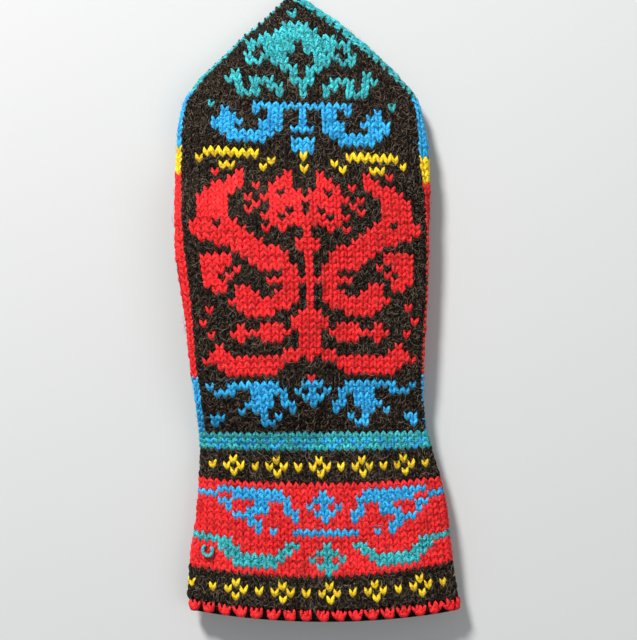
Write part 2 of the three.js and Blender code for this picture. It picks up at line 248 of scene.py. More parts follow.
# Colour chart from ribbons and single stitches in (column, row) places; the right side mirrors the left
teal, blue, red, yellow, charcoal = "teal", "blue", "red", "yellow", "charcoal"
sectionRows = {"facing": 0, "cuff": 2, "braid": 26, "hand": 29, "tip": 98}
chartSizes = {"columns": 17, "rows": 99, "stitchMiddle": 0.28, "reach": 0.12, "redRows": (7, 20),
              "flowerRows": ((teal, 7), (blue, 15)), "diamondRows": (4, 23), "diamondEvery": 6}
handRibbons = [
    # base arc and trunk
    (red, [(-14.2, 40.4, .35), (-13, 40.5, .8), (-12, 40.5, 1.2), (-11, 39.8, 1.4), (-9.5, 39.4, 1.3),
           (-6, 39.3, 1.3), (-4.2, 39.7, 1.0), (-3, 40.5, .8), (-2, 41, .6)]),
    (red, [(-12, 41, .5), (-12, 42.2, .4)]),
    (red, [(0, 41.4, 1.2), (0, 46.3, 1.2), (0, 47.2, 1.1)]),
    (red, [(0, 45.3, 2.1), (0, 45.5, 2.1)]),
    (red, [(0, 47, .4), (0, 62, .4)]),
    (red, [(0, 57.4, 1.05), (0, 58.3, 1.05)]),
    # scroll: lobe, sweep, upright and ball
    (red, [(-8.2, 69.3, .45), (-8.6, 68, .8), (-9.7, 66.9, 1.2), (-11.5, 65, 1.7), (-11.6, 63, 1.75),
           (-11.6, 61, 2.5), (-10.4, 59.8, 2.0), (-8.4, 58.4, 1.5), (-6.4, 57, 1.7), (-5.2, 56, 1.9),
           (-3.4, 55, 1.3), (-2.5, 53.4, .7), (-2.6, 51, .8), (-3.1, 49.7, 1.1), (-5.2, 48, 1.05),
           (-7.7, 48.6, 1.25), (-8, 50.2, 1.1)]),
    (red, [(-13.2, 55.8, .7), (-12.4, 55.2, 1.25), (-12.6, 53.4, .6), (-12.4, 51.9, .5), (-11.4, 51.3, .4)]),
    (red, [(-11, 56.2, .7), (-10.4, 55.6, .7)]),
    (red, [(-5.2, 52.3, .35), (-.6, 52.3, .35)]),
    # cluster and little diamond
    (red, [(-5.7, 44.3, .95), (-4.3, 44.3, .95)]),
    (red, [(-10, 44.3, .4), (-3, 44.3, .4)]),
    # fan
    (red, [(-2.1, 69.2, .4), (-2.5, 68, .75), (-3.7, 66.6, .8), (-4, 65, .95), (-3.6, 63.6, .95),
           (-4.3, 62.4, .85), (-3, 61.3, .95), (-1, 61.7, .85)]),
    (red, [(-1.5, 66.6, .6), (-1.4, 64, .6), (-1, 62.4, .6)]),
    (red, [(0, 65.2, .35), (0, 65.4, .35)]),
    # leaf above the wrist
    (blue, [(-14.2, 36.3, .35), (-13.1, 35.4, .4), (-12, 35.2, .5), (-10.8, 35.7, .6), (-10, 36.1, .5),
            (-5.6, 36.1, .5), (-4.8, 35.4, .55), (-4, 34.3, .5), (-3.1, 32.8, .5), (-3, 32.2, .35)]),
    (blue, [(-7, 36, .8), (-7, 34.6, 1.4), (-7.2, 32.6, .9), (-6.8, 31.2, .6), (-6.4, 30.3, .5)]),
    (blue, [(-7.8, 32.9, .7), (-9, 33, .4), (-10, 32.3, .4)]),
    (blue, [(-14, 30.3, .35), (-14, 31.4, .35), (-13, 31.4, .35)]),
    # scroll under the point
    (blue, [(-9.9, 79.3, .4), (-9.7, 78.3, .75), (-9.8, 76.8, 1.2), (-8.9, 75.2, 1.0), (-6.6, 74.8, .75),
            (-5.2, 75.2, .8), (-4.1, 76.6, 1.05), (-3.5, 78.3, .7), (-3.5, 80.3, .6)]),
    (blue, [(-6, 80.3, .35), (0, 80.3, .35)]),
    (blue, [(0, 76.3, .35), (0, 80.3, .35)]),
    (blue, [(-1, 74.3, .35), (0, 74.3, .35)]),
    # palmette
    (teal, [(0, 82.3, .35), (0, 84.4, .4), (-1, 85.3, .45), (-2, 86.6, .6), (-2.5, 88, .95),
            (-2.4, 89.4, 1.0), (-1.7, 91.2, .8), (-1, 92.8, .5)]),
    (teal, [(-2.8, 89, .8), (-4, 90.2, .55), (-5.2, 90.3, .45), (-6.2, 89.4, .5), (-6.2, 88.2, .5),
            (-5.4, 87, .5)]),
    (teal, [(-2.6, 82.4, .4), (-3.6, 83.4, .45), (-4.6, 84.3, .45), (-6, 84.2, .5), (-6, 82.9, .45),
            (-7.1, 82.3, .4), (-8.3, 82.8, .45), (-8.6, 84, .4), (-7.7, 85.1, .45)]),
]
cuffRibbons = [
    (blue, [(-16.8, 17.6, .5), (-16, 18.3, .5), (-15.3, 18.4, .45)]),
    (blue, [(-13.9, 19.1, .35), (-12.6, 19.0, .7), (-10.8, 18.8, .7), (-9, 19.1, .6), (-7.2, 18.9, 1.0),
            (-6, 19, .7), (-5.2, 17.7, .65), (-4.4, 16.3, .5), (-4, 15.4, .4)]),
    (blue, [(-8, 18.2, .8), (-8.8, 16.8, 1.0), (-10, 15.9, .8), (-10.4, 14.7, .6), (-9.4, 14.4, .6),
            (-9, 13.4, .6), (-8.6, 12.8, .5)]),
    (blue, [(-10.4, 15.2, .5), (-12, 15.6, .45)]),
    (blue, [(-14.6, 17.8, .3), (-12.9, 16.7, .35)]),
    (blue, [(-16.9, 14.2, .35), (-16.5, 12.8, .35)]),
    (teal, [(-4.2, 11.5, .5), (-5.2, 10.3, .65), (-6.3, 9.2, .7), (-8, 8.6, .75), (-10, 8.6, .8),
            (-11.7, 9.2, 1.0), (-13.1, 10.3, .85), (-14.4, 11.2, .5), (-16, 11.2, .5), (-16.8, 10.5, .4)]),
]
flower = ((0, 0), (-1, 1), (0, 1), (1, 1), (-2, 2), (0, 2), (2, 2), (-1, 3), (0, 3), (1, 3), (0, 4))
# A ring of four stitches, and the single one half-way to the next ring
diamond = ((0, -1), (-1, 0), (1, 0), (0, 1), (-3, 0))
# Rows of mirrored stitches, from the first column to the last
mirroredRuns = ((yellow, 72, -12, -6), (blue, 74, -9, -5), (teal, 88, -4, -2), (teal, 92, -2, -1),
                (blue, 13, -4, 0))
mirroredStitches = (
    (red, [(-11, 69), (-6, 67), (-7, 65), (-6, 64), (-7, 63), (-5, 60), (-9, 54), (-9, 51), (-10, 49),
           (-9, 45), (-9, 43), (-13, 48), (-14, 46), (-13, 44), (-11, 54), (-10, 53), (-11, 52)]),
    (charcoal, [(-11, 61), (-3, 66), (-5, 64), (-3, 62), (-9, 55)]),
    (yellow, [(-13, 71), (-10, 70), (-9, 70), (-4, 71), (-5, 70)]),
    (blue, [(-1, 36), (-2, 35), (-1, 34), (-5, 31), (-6, 79), (-1, 76), (-1, 73), (-7, 13), (-8, 77)]),
    (teal, [(-12, 80), (-1, 84), (-1, 89), (-1, 90), (-1, 91), (-1, 93), (-3, 91), (-4, 91)]),
)
# Rows of single stitches in the middle column
middleStitches = ((red, (37, 40, 41, 65)), (charcoal, (63, 64, 87, 88, 89, 90)), (yellow, (70, 72)),
                  (blue, (33, 34, 35, 36, 73)), (teal, (84, 91, 92, 93, 95)))


def distanceToPath(column, row, path):
    best = math.inf
    for (c0, r0, w0), (c1, r1, w1) in zip(path, path[1:]):
        dc, dr = c1 - c0, r1 - r0
        t = min(1.0, max(0.0, ((column - c0) * dc + (row - r0) * dr) / (dc * dc + dr * dr)))
        best = min(best, math.hypot(column - c0 - t * dc, row - r0 - t * dr) - (w0 + (w1 - w0) * t))
    return best


def paintRibbons(chart, ribbons):
    for yarn, path in ribbons:
        low, high = int(min(p[1] - p[2] for p in path)) - 1, int(max(p[1] + p[2] for p in path)) + 1
        for row in range(low, high + 1):
            for column in range(-chartSizes["columns"], 1):
                if distanceToPath(column, row + chartSizes["stitchMiddle"], path) <= chartSizes["reach"]:
                    chart[column, row] = chart[-column, row] = yarn


def backChart():
    (redLow, redHigh), every = chartSizes["redRows"], chartSizes["diamondEvery"]
    across, rows = range(-chartSizes["columns"], chartSizes["columns"] + 1), range(chartSizes["rows"])
    chart = {(c, r): red if redLow <= r <= redHigh else charcoal for c in across for r in rows}
    paintRibbons(chart, handRibbons + cuffRibbons)
    for yarn, row, low, high in mirroredRuns:
        for c in range(low, high + 1):
            chart[c, row] = chart[-c, row] = yarn
    for yarn, places in mirroredStitches:
        for c, r in places:
            chart[c, r] = chart[-c, r] = yarn
    for yarn, rows in middleStitches:
        for row in rows:
            chart[0, row] = yarn
    for yarn, base in chartSizes["flowerRows"]:
        for c, r in flower:
            chart[c, base + r] = yarn
    for middle in chartSizes["diamondRows"]:
        for c in across:
            for dc, dr in diamond:
                if (c + every // 2) % every - every // 2 == dc:
                    chart[c, middle + dr] = yellow
    return chart


chart = backChart()
# The zones of colour up the hand: the row that each ends below, and its yarn
zones = ((29, teal), (38, blue), (69, red), (73, yellow), (82, blue), (99, teal))


# Colour of the side bands, and of the small figures on the palm, by row
def zoneYarn(row):
    return next(yarn for top, yarn in zones if row < top)


print("chart drawn")

# Yarn colours: the yarn, the painted shade in the grooves between its strands, its pale fibres (in the
# coloured yarns also painted highlights) and how much of them shows, the strength of sheen, the stray hairs,
# and the painted shade that darkens the cloth behind the stitches
yarns = {
    charcoal: {"main": (0.0075, 0.0045, 0.003), "dark": (0.0015, 0.0008, 0.0005), "pale": (0.30, 0.22, 0.15),
               "paleShare": 0.55, "paleFrom": 0.60, "sheen": 0.0, "hair": (0.45, 0.34, 0.24), "cloth": 0.3},
    red: {"main": (0.91, 0.014, 0.022), "dark": (0.35, 0.001, 0.004), "pale": (1.0, 0.15, 0.13),
          "paleShare": 0.5, "paleFrom": 0.54, "sheen": 0.04, "hair": (0.98, 0.10, 0.08), "cloth": 0.5},
    blue: {"main": (0.025, 0.40, 0.80), "dark": (0.003, 0.08, 0.30), "pale": (0.15, 0.86, 1.0),
           "paleShare": 0.6, "paleFrom": 0.54, "sheen": 0.05, "hair": (0.10, 0.58, 0.98), "cloth": 0.4},
    teal: {"main": (0.018, 0.39, 0.44), "dark": (0.002, 0.05, 0.065), "pale": (0.20, 0.88, 0.86),
           "paleShare": 0.65, "paleFrom": 0.53, "sheen": 0.05, "hair": (0.14, 0.68, 0.68), "cloth": 0.35},
    yellow: {"main": (1.0, 0.68, 0.010), "dark": (0.58, 0.25, 0.002), "pale": (1.0, 0.96, 0.10),
             "paleShare": 0.6, "paleFrom": 0.54, "sheen": 0.04, "hair": (1.0, 0.85, 0.12), "cloth": 0.4},
}
yarnNames = list(yarns)
wool = {"strands": 7.0, "strandLength": 0.9, "twist": 1.4, "toneShift": 90.0, "strandShare": 0.6,
        "fibreScale": 1700, "fibreBend": 1.5, "fleckScale": 1250, "fleckBend": 3.0, "patchScale": 55.0,
        "paintedGrooveShadeTones": (0.40, 0.56), "paleSpan": 0.07, "patchTones": (0.3, 0.7), "patchLights": (0.86, 1.1),
        "bump": 0.75, "bumpHeight": 0.0005, "roughness": 0.85, "specular": 0.08, "sheenRoughness": 0.4}
hairLook = {"shade": 0.2, "tones": (-0.2, 0.25), "roughness": 0.6, "specular": 0.3}


def fillInputs(tree, node, inputs):
    for name, value in inputs.items():
        if isinstance(value, bpy.types.NodeSocket):
            tree.links.new(value, node.inputs[name])
        else:
            node.inputs[name].default_value = value


def addNode(tree, kind, inputs=None, **settings):
    node = tree.nodes.new(kind)
    for name, value in settings.items():
        setattr(node, name, value)
    fillInputs(tree, node, inputs or {})
    return node


def mixColour(tree, factor, first, second, blend="MIX"):
    return addNode(tree, "ShaderNodeMix", {0: factor, 6: first, 7: second}, data_type="RGBA",
                   blend_type=blend).outputs[2]


def ramp(tree, value, span, lights=(0.0, 1.0)):
    return addNode(tree, "ShaderNodeMapRange",
                   {0: value, 1: span[0], 2: span[1], 3: lights[0], 4: lights[1]}).outputs[0]


def stitchTone(tree):
    return addNode(tree, "ShaderNodeAttribute", attribute_name="tone").outputs["Fac"]


def colour(values, shade=1.0):
    return tuple(v * shade for v in values) + (1.0,)


def newMaterial(name):
    material = bpy.data.materials.new(name)
    material.use_nodes = True
    return material, next(n for n in material.node_tree.nodes if n.type == "BSDF_PRINCIPLED")


# Wool: streaks of strands along the yarn with painted shade in their grooves, speckled fibre, pale flecks
# that are fibres and, in the coloured yarns, painted highlights, broad patches and each stitch's tone
def woolMaterial(yarn, name, shade):
    material, shader = newMaterial(name)
    sizes, tree = yarns[yarn], material.node_tree

    def times(first, second):
        return addNode(tree, "ShaderNodeMath", {0: first, 1: second}, operation="MULTIPLY").outputs[0]

    def plus(first, second):
        return addNode(tree, "ShaderNodeMath", {0: first, 1: second}, operation="ADD").outputs[0]

    def noise(vector, scale, detail, bend=0.0):
        return addNode(tree, "ShaderNodeTexNoise",
                       {"Vector": vector, "Scale": scale, "Detail": detail, "Distortion": bend}).outputs[0]

    place, tone = addNode(tree, "ShaderNodeTexCoord").outputs["Object"], stitchTone(tree)
    parts = addNode(tree, "ShaderNodeSeparateXYZ",
                    {0: addNode(tree, "ShaderNodeUVMap", uv_map="yarnUV").outputs[0]})
    around, along = parts.outputs[0], parts.outputs[1]
    twisted = plus(times(around, wool["strands"]), times(along, wool["twist"]))
    strandPlace = addNode(tree, "ShaderNodeCombineXYZ",
                          {0: twisted, 1: times(along, wool["strandLength"]),
                           2: times(tone, wool["toneShift"])}).outputs[0]
    strand = noise(strandPlace, 1.0, detail=1.0)
    fibre = noise(place, wool["fibreScale"], detail=2.0, bend=wool["fibreBend"])
    fleck = noise(place, wool["fleckScale"], detail=1.0, bend=wool["fleckBend"])
    patch = noise(place, wool["patchScale"], detail=3.0)
    depth = plus(times(strand, wool["strandShare"]), times(fibre, 1 - wool["strandShare"]))
    # Painted shade: the yarn turns to its groove shade colour where strands and fibres are low, the same
    # height that bumps the surface
    mixed = mixColour(tree, ramp(tree, depth, wool["paintedGrooveShadeTones"]), colour(sizes["dark"], shade),
                      colour(sizes["main"], shade))
    # Pale flecks: pale fibres in the charcoal; in the coloured yarns partly painted highlights
    paleSpan = (sizes["paleFrom"], sizes["paleFrom"] + wool["paleSpan"])
    mixed = mixColour(tree, times(ramp(tree, fleck, paleSpan), sizes["paleShare"]), mixed,
                      colour(sizes["pale"], shade))
    light = plus(ramp(tree, patch, wool["patchTones"], wool["patchLights"]), tone)
    grey = addNode(tree, "ShaderNodeCombineColor", {0: light, 1: light, 2: light}).outputs[0]
    bump = addNode(tree, "ShaderNodeBump",
                   {"Strength": wool["bump"], "Distance": wool["bumpHeight"], "Height": depth})
    fillInputs(tree, shader, {
        "Base Color": mixColour(tree, 1.0, mixed, grey, "MULTIPLY"), "Normal": bump.outputs[0],
        "Roughness": wool["roughness"], "Specular IOR Level": wool["specular"],
        "Sheen Weight": sizes["sheen"] * shade, "Sheen Roughness": wool["sheenRoughness"],
        "Sheen Tint": colour(sizes["pale"])})
    return material


def hairMaterial(yarn, name):
    material, shader = newMaterial(name)
    tree, hair = material.node_tree, yarns[yarn]["hair"]
    mixed = mixColour(tree, ramp(tree, stitchTone(tree), hairLook["tones"]), colour(hair, hairLook["shade"]),
                      colour(hair))
    fillInputs(tree, shader, {"Base Color": mixed, "Roughness": hairLook["roughness"],
                              "Specular IOR Level": hairLook["specular"]})
    return material


yarnMaterials = [woolMaterial(name, "wool_" + name, 1.0) for name in yarnNames]
# Cloth materials: each yarn darkened by its cloth value, painted shade for the crevices between the stitches
paintedShadeMaterials = [woolMaterial(name, "wool_" + name + "_shade", yarns[name]["cloth"]) for name in yarnNames]
hairMaterials = [hairMaterial(name, "hair_" + name) for name in yarnNames]
print("materials made")


def meshObject(name, points, faces, materials=(), faceMaterials=None):
    mesh = bpy.data.meshes.new(name)
    mesh.from_pydata([tuple(p) for p in points], [], [tuple(f) for f in faces])
    for material in materials:
        mesh.materials.append(material)
    if faceMaterials is not None:
        mesh.polygons.foreach_set("material_index", np.asarray(faceMaterials, np.int32))
    mesh.polygons.foreach_set("use_smooth", np.full(len(mesh.polygons), True))
    return addObject(name, mesh)


# Object of yarn from (points, faces, uvs) parts in millimetres; its map runs round the yarn and along it
def yarnObject(name, parts, materials=()):
    vertices, faces, uvs = [], [], []
    for partVertices, partFaces, partUvs in parts:
        start = len(vertices)
        vertices.extend(partVertices)
        faces.extend(tuple(start + i for i in face) for face in partFaces)
        uvs.extend(partUvs)
    piece = meshObject(name, np.array(vertices) * mm, faces, materials)
    layer = piece.data.uv_layers.new(name="yarnUV")
    for loop in piece.data.loops:
        layer.data[loop.index].uv = uvs[loop.vertex_index]
    return piece


# Tube along points with a radius at each; the first and last point close it
def tube(points, radii, sides):
    points = np.asarray(points, float)
    vertices, faces, uvs = [points[0]], [], [(0.0, 0.0)]
    tangents, lengths = np.gradient(points, axis=0), lengthsAlong(points)
    for i in range(1, len(points) - 1):
        along = unit(tangents[i])
        side = unit(np.cross(along, (0, 0, 1)))
        upward = np.cross(side, along)
        for j in range(sides):
            angle = 2 * math.pi * j / sides
            vertices.append(points[i] + radii[i] * (math.cos(angle) * side + math.sin(angle) * upward))
            uvs.append((j / sides, lengths[i]))
    vertices.append(points[-1])
    uvs.append((0.0, lengths[-1]))
    rings, last = len(points) - 2, len(vertices) - 1
    for j in range(sides):
        k = (j + 1) % sides
        faces.append((0, 1 + k, 1 + j))
        for i in range(rings - 1):
            a, b = 1 + i * sides, 1 + (i + 1) * sides
            faces.append((a + j, a + k, b + k, b + j))
        faces.append((last, last - sides + j, last - sides + k))
    return np.array(vertices), faces, uvs


# One stitch: two plump legs of yarn in a V. Lengths are in millimetres, but the legs' x and y in pitches and
# rows. Its middle is a share of a row above the counted row, and the spreads are how much stitches differ.
stitchSizes = {"pitch": 3.1, "row": 2.6, "sides": 6, "middle": 0.3, "sink": 1.3, "sway": 0.07,
               "widthSpread": (0.95, 1.06), "thickSpread": (0.85, 1.15), "toneSpread": (-0.13, 0.13)}
stitchLeg = {
    "x": (0.03, 0.09, 0.23, 0.38, 0.47, 0.46),
    "y": (-0.78, -0.30, 0.22, 0.68, 1.10, 1.48),
    "z": (-0.85, 0.02, 0.48, 0.46, 0.05, -0.85),
    "radius": (0, 0.60, 0.86, 0.80, 0.60, 0),
}


def stitchTemplate():
    leg = np.array([stitchLeg[axis] for axis in "xyz"]).T * (stitchSizes["pitch"], stitchSizes["row"], 1)
    points, faces, uvs = tube(leg, stitchLeg["radius"], stitchSizes["sides"])
    mirrored = (points * (-1, 1, 1), [face[::-1] for face in faces], uvs)
    return yarnObject("stitchTemplate", [(points, faces, uvs), mirrored])


# Geometry Nodes tree that sets a stitch on every point, turned, sized and coloured by the point's attributes
def stitchTree():
    tree = bpy.data.node_groups.new("stitches", "GeometryNodeTree")
    face = tree.interface
    for name, kind in (("Points", "Geometry"), ("Stitch", "Object"), ("Sway", "Float"), ("Seed", "Int")):
        face.new_socket(name, in_out="INPUT", socket_type="NodeSocket" + kind)
    for name in yarnNames:
        face.new_socket("Wool " + name, in_out="INPUT", socket_type="NodeSocketMaterial")
    face.new_socket("Knitting", in_out="OUTPUT", socket_type="NodeSocketGeometry")

    def stored(name, kind="FLOAT_VECTOR"):
        return addNode(tree, "GeometryNodeInputNamedAttribute", {"Name": name}, data_type=kind).outputs[0]

    start = addNode(tree, "NodeGroupInput")
    instance = addNode(tree, "GeometryNodeObjectInfo", {"Object": start.outputs["Stitch"]})
    sway = addNode(tree, "FunctionNodeRandomValue",
                   {0: (-1, -1, -1), 1: (1, 1, 1), "Seed": start.outputs["Seed"]}, data_type="FLOAT_VECTOR")
    swayed = addNode(tree, "ShaderNodeVectorMath", {0: sway.outputs[0], "Scale": start.outputs["Sway"]},
                     operation="SCALE")
    turned = addNode(tree, "ShaderNodeVectorMath", {0: stored("turn"), 1: swayed.outputs[0]}, operation="ADD")
    placed = addNode(tree, "GeometryNodeInstanceOnPoints",
                     {"Points": start.outputs["Points"], "Instance": instance.outputs["Geometry"],
                      "Rotation": turned.outputs[0], "Scale": stored("size")})
    knitted = addNode(tree, "GeometryNodeRealizeInstances", {0: placed.outputs[0]}).outputs[0]
    yarn = stored("yarn", "INT")
    for i, name in enumerate(yarnNames):
        same = addNode(tree, "FunctionNodeCompare", {2: yarn, 3: i}, data_type="INT", operation="EQUAL")
        knitted = addNode(tree, "GeometryNodeSetMaterial",
                          {"Geometry": knitted, "Selection": same.outputs[0],
                           "Material": start.outputs["Wool " + name]}).outputs[0]
    addNode(tree, "NodeGroupOutput", {0: knitted})
    return tree


template = stitchTemplate()
knitTree = stitchTree()


# Frames of one row of stitches, for columns that may move with height: origins sunk into the wall, and
# vectors across a stitch and along it
def stitchFrames(row, columnsAt):
    def line(at, shift=0.0):
        up = upOfRow(at)
        return fabricRow(up, columnsAt(up) + shift)

    middle = row + stitchSizes["middle"]
    across = line(middle, 0.5) - line(middle, -0.5)
    along = line(middle + 0.5) - line(middle - 0.5)
    return line(row) - stitchSizes["sink"] * unit(np.cross(across, along)), across, along


# Wool under the mitten is pressed flat by the surface that it lies on; lengths in millimetres
pressSizes = {"from": 0.4, "reach": 0.6}


def pressDown(mesh):
    places = np.empty(len(mesh.vertices) * 3, np.float32)
    mesh.vertices.foreach_get("co", places)
    z = places[2::3] / mm
    deep = np.maximum(pressSizes["from"] - z, 0)
    pressed = pressSizes["from"] - pressSizes["reach"] * (1 - np.exp(-deep / pressSizes["reach"]))
    places[2::3] = np.where(deep > 0, pressed, z) * mm
    mesh.vertices.foreach_set("co", places)
    mesh.update()


# One mesh of knitting from (origin, across, along, yarn) stitches
def knit(name, stitches, seed, sway=stitchSizes["sway"], shape=None, wools=None):
    turns, sizes, tones = [], [], []
    dice = np.random.default_rng(seed)
    for _, across, along, _ in stitches:
        length, normal = np.linalg.norm(along), np.cross(across, along)
        yAxis, zAxis = along / length, unit(normal)
        turns.append(tuple(Matrix((np.cross(yAxis, zAxis), yAxis, zAxis)).transposed().to_euler("XYZ")))
        width = np.linalg.norm(normal) / length
        sizes.append((width / stitchSizes["pitch"] * dice.uniform(*stitchSizes["widthSpread"]),
                      length / stitchSizes["row"], dice.uniform(*stitchSizes["thickSpread"])))
        tones.append(dice.uniform(*stitchSizes["toneSpread"]))
    yarnIndices = [yarnNames.index(stitch[3]) for stitch in stitches]
    holder = meshObject(name + "Points", [stitch[0] * mm for stitch in stitches], [])
    for label, kind, values in (("turn", "FLOAT_VECTOR", turns), ("size", "FLOAT_VECTOR", sizes),
                                ("yarn", "INT", yarnIndices), ("tone", "FLOAT", tones)):
        layer = holder.data.attributes.new(label, kind, "POINT")
        layer.data.foreach_set("vector" if kind == "FLOAT_VECTOR" else "value",
                               np.asarray(values, np.int32 if kind == "INT" else np.float32).ravel())
    modifier = holder.modifiers.new("knit", "NODES")
    modifier.node_group = knitTree
    values = {"Stitch": shape or template, "Sway": sway, "Seed": seed}
    values.update({"Wool " + n: (wools or yarnMaterials)[i] for i, n in enumerate(yarnNames)})
    for item in knitTree.interface.items_tree:
        if item.name in values:
            modifier[item.identifier] = values[item.name]
    bpy.context.view_layer.update()
    mesh = bpy.data.meshes.new_from_object(holder.evaluated_get(bpy.context.evaluated_depsgraph_get()))
    mesh.name = name
    pressDown(mesh)
    bpy.data.objects.remove(holder)
    for extra in ("turn", "size"):
        if extra in mesh.attributes:
            mesh.attributes.remove(mesh.attributes[extra])
    return addObject(name, mesh)


# Knitted field: rows from low to high; each row gives its column labels and their places at any height
def knitField(name, low, high, columnsOf, yarnOf, seed, keep=None):
    stitches = []
    for row in range(low, high + 1):
        labels, columnsAt = columnsOf(row)
        for label, origin, across, along in zip(labels, *stitchFrames(row, columnsAt)):
            if keep is None or keep(origin):
                stitches.append((origin, across, along, yarnOf(label, row)))
    return knit(name, stitches, seed)


def labelsOfRow(row):
    half = stitchesInRow(row) // 2
    labels = np.arange(-half, half + 1)
    return labels, labels * rowAt(upOfRow(row + stitchSizes["middle"]))["columns"] / len(labels)


def backColumns(row):
    labels, places = labelsOfRow(row)
    return labels, lambda up: places


# Near the point the palm's outermost stitches, so many at each side, are folded away under the bands
palmFold = {"fromRow": 80, "right": 2, "left": 1}


def palmColumns(row):
    labels, places = labelsOfRow(row)
    if row >= palmFold["fromRow"]:
        kept = slice(palmFold["right"], -palmFold["left"])
        labels, places = labels[kept], places[kept]
    return labels, lambda up: places + rowAt(up)["columns"] + hand["bandColumns"]


# Number of columns right round the cuff and the braid, and the first one's label
ringColumns, ringStart = 2 * (hand["backColumns"] + hand["bandColumns"]), -16


def roundColumns(row):
    labels = np.arange(ringColumns) + ringStart
    return labels, lambda up: labels.astype(float)


def bandColumns(side):
    steps = np.arange(hand["bandColumns"]) + 0.5
    return lambda row: (steps, lambda up: side * (rowAt(up)["columns"] / 2 + steps))


# The cuff's ornament is drawn once for the back and once more for the palm side, and meets at the sides
def cuffYarn(column, row):
    period = ringColumns // 2
    return chart[(column + period // 2) % period - period // 2, row]


def braidYarn(column, row):
    step = row - sectionRows["braid"]
    return blue if step == 1 and column % 2 or step == 0 and column % 4 == 2 else teal


# Palm and thumb: a small dot of the zone's yarn every few rows and columns, set like bricks
dots = {"rows": 3, "columns": 4}


def dotYarn(column, row):
    shift = dots["columns"] // 2 * (row // dots["rows"] % 2)
    return charcoal if row % dots["rows"] or (column + shift) % dots["columns"] else zoneYarn(row)


# Closed wall of cloth between two grids of points; cells that a test leaves open get rims of their own
def clothWall(name, outer, inner, yarnOfCell, openCell, ring):
    rows, columns = len(outer) - 1, outer.shape[1] - 1
    stride = columns if ring else columns + 1
    points = np.concatenate([outer[:, :stride].reshape(-1, 3), inner[:, :stride].reshape(-1, 3)])
    half = (rows + 1) * stride

    def kept(i, j):
        if ring:
            j %= columns
        return 0 <= i < rows and 0 <= j < columns and not openCell(i, j)

    def at(side, i, j):
        return side * half + i * stride + (j % columns if ring else j)

    faces, indices = [], []
    for i in range(rows):
        for j in range(columns):
            if not kept(i, j):
                continue
            corners = ((i, j), (i, j + 1), (i + 1, j + 1), (i + 1, j))
            cell = [tuple(at(0, *c) for c in corners), tuple(at(1, *c) for c in reversed(corners))]
            beyond = ((i - 1, j), (i, j + 1), (i + 1, j), (i, j - 1))
            for side, (a, b) in enumerate(zip(corners, corners[1:] + corners[:1])):
                if not kept(*beyond[side]):
                    cell.append((at(0, *b), at(0, *a), at(1, *a), at(1, *b)))
            faces.extend(cell)
            indices.extend([yarnNames.index(yarnOfCell(i, j))] * len(cell))
    # The cloth takes the yarns' materials darkened by painted shade
    return meshObject(name, points * mm, faces, paintedShadeMaterials, indices)


# Depth of the cloth's face under the knitting in millimetres, and gap at its seams in rows and columns
cloth = {"depth": 1.9, "seam": 0.05}


def clothPiece(name, low, high, columnsAt, yarnOfCell, ring=False, openAt=None):
    rows = np.arange(low, high + 1).astype(float)
    rows[0] += cloth["seam"]
    rows[-1] -= cloth["seam"]
    ups = [upOfRow(row) for row in rows]
    outer, inner = (np.array([fabricRow(up, columnsAt(up), inset) for up in ups])
                    for inset in (cloth["depth"], hand["wall"]))

    def openCell(i, j):
        return openAt is not None and openAt((outer[i, j] + outer[i + 1, j + 1]) / 2)

    return clothWall(name, outer, inner, lambda i, j: yarnOfCell(low + i, j), openCell, ring)


def acrossBack(up):
    steps = np.linspace(-0.5, 0.5, hand["backColumns"] + 1)
    return steps * (rowAt(up)["columns"] - cloth["seam"] * 2)


def acrossPalm(up):
    return acrossBack(up) + rowAt(up)["columns"] + hand["bandColumns"]


def acrossBand(side):
    steps = np.array((cloth["seam"], hand["bandColumns"] / 2, hand["bandColumns"] - cloth["seam"]))
    ordered = steps if side > 0 else -steps[::-1]
    return lambda up: ordered + side * rowAt(up)["columns"] / 2


def aroundRing(up):
    return np.arange(ringColumns + 1) + ringStart - 0.5


# The thumb, folded flat under the palm, and the hole that it grows from; lengths in millimetres
thumb = {"x": -28, "lean": 0.05, "thick": 10, "root": 107, "ring": 96, "leastHalf": 1, "clothInset": 0.9,
         "merge": 0.02}
thumbRoot = {"halfWidth": 14.6, "halfLength": 10.4, "margin": 0.6}


def overThumbRoot(point):
    x = (point[0] - thumb["x"]) / (thumbRoot["halfWidth"] + thumbRoot["margin"])
    y = (point[1] - hand["hemDatum"] - thumb["root"]) / (thumbRoot["halfLength"] + thumbRoot["margin"])
    return x * x + y * y < 1


def backCellYarn(row, j):
    return chart[j - hand["backColumns"] // 2, row]


cuffRow, braidRow, handRow, tipRow = (sectionRows[part] for part in ("cuff", "braid", "hand", "tip"))
pieces = [
    (clothPiece("backCloth", handRow, tipRow, acrossBack, backCellYarn), "wool_charcoal", ("back_of_hand",)),
    (knitField("backStitches", handRow, tipRow - 1, backColumns, lambda c, r: chart[c, r], seed=11),
     "wool_charcoal", ()),
    (clothPiece("palmCloth", handRow, tipRow, acrossPalm, lambda r, j: charcoal, openAt=overThumbRoot),
     "wool_charcoal", ("palm",)),
    (knitField("palmStitches", handRow, tipRow - 1, palmColumns, dotYarn, seed=13,
               keep=lambda p: not overThumbRoot(p)), "wool_charcoal", ()),
    (clothPiece("cuffCloth", cuffRow, braidRow, aroundRing, lambda r, j: cuffYarn(j + ringStart, r),
                ring=True), "wool_red", ("cuff",)),
    (knitField("cuffStitches", cuffRow, braidRow - 1, roundColumns, cuffYarn, seed=12), "wool_red", ()),
    (clothPiece("braidCloth", braidRow, handRow, aroundRing, lambda r, j: braidYarn(j, r), ring=True),
     "wool_teal", ("wrist_braid",)),
    (knitField("braidStitches", braidRow, handRow - 1, roundColumns, braidYarn, seed=14), "wool_teal", ()),
]
